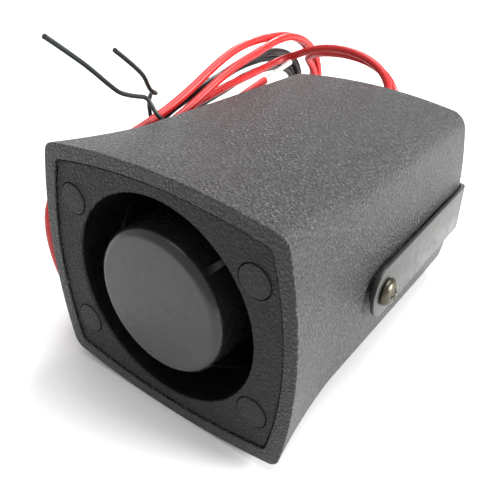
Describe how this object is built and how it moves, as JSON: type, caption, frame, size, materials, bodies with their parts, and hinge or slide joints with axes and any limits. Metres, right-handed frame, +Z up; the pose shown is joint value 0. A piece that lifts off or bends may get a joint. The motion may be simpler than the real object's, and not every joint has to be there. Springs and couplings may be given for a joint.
{
  "type": "alarm siren",
  "caption": "Compact electronic alarm siren with a flared horn face, a tilting U bracket and a tied hank of supply leads.",
  "frame": {"origin": "centre of the siren's own box in X and Y, on the surface it stands on; the free leads aren't counted", "axes": "-Y out of the horn's mouth, +Y to the rear wall, +X to the siren's left-hand side seen from the front's back (right in a view along +Y), +Z up"},
  "size_m": [0.0859, 0.1265, 0.0797],
  "materials": {
    "housing_plastic": "leather grain",
    "panel_plastic": "fine grain",
    "cup_plastic": "satin",
    "plug_plastic": "fine grain",
    "inner_plastic": "plain",
    "bracket_paint": "semi-gloss",
    "dark_steel": "dark bronze plating",
    "zinc_steel": "zinc plating",
    "plain_steel": "turned",
    "ferrite": "sintered",
    "copper": "enamelled winding",
    "film": "satin",
    "rubber": "matt",
    "nylon": "natural",
    "board_laminate": "laminate",
    "capacitor_sleeve": "shrink sleeve",
    "chip_epoxy": "moulded epoxy",
    "red_insulation": "satin",
    "black_insulation": "satin",
    "lead_bundle": "satin",
    "tinned_copper": "tinned strands",
    "tie_plastic": "coated wire"
  },
  "bodies": {
    "siren": {"black_lead_in": "black_insulation", "black_lead_tail": "black_insulation", "black_lead_tip": "tinned_copper", "board_screw_left": "zinc_steel", "board_screw_right": "zinc_steel", "capacitor": "capacitor_sleeve", "circuit_board": "board_laminate", "coil_wire_left": "nylon", "coil_wire_right": "nylon", "diaphragm": "film", "diode": "chip_epoxy", "driver_gasket": "rubber", "driver_magnet": "ferrite", "driver_screw_1": "zinc_steel", "driver_screw_2": "zinc_steel", "driver_screw_3": "zinc_steel", "driver_top_plate": "plain_steel", "driver_yoke": "plain_steel", "horn_panel": "panel_plastic", "housing": "housing_plastic", "inductor": "ferrite", "inner_wire_black": "black_insulation", "inner_wire_red": "red_insulation", "lead_grommet": "rubber", "lead_hank": "lead_bundle", "panel_screw_bottom_left": "zinc_steel", "panel_screw_bottom_right": "zinc_steel", "panel_screw_top_left": "zinc_steel", "panel_screw_top_right": "zinc_steel", "pivot_screw_left": "dark_steel", "pivot_screw_right": "dark_steel", "pivot_washer_left": "nylon", "pivot_washer_right": "nylon", "plug_bottom_left": "plug_plastic", "plug_bottom_right": "plug_plastic", "plug_top_left": "plug_plastic", "plug_top_right": "plug_plastic", "power_transistor_1": "chip_epoxy", "power_transistor_2": "chip_epoxy", "red_lead_loop_back": "red_insulation", "red_lead_loop_in": "red_insulation", "red_lead_tail": "red_insulation", "red_lead_tip": "tinned_copper", "sound_cup": "cup_plastic", "throat_tube": "inner_plastic", "tone_chip": "chip_epoxy", "twist_tie": "tie_plastic", "voice_coil": "copper"},
    "bracket": {"bracket": "bracket_paint"}
  },
  "joints": [
    {"name": "bracket_tilt", "type": "hinge", "parent": "siren", "child": "bracket", "pos_m": [0, -0.00562, 0.02482], "axis": [1, 0, 0], "range_deg": [-5.4, 4.4]}
  ]
}
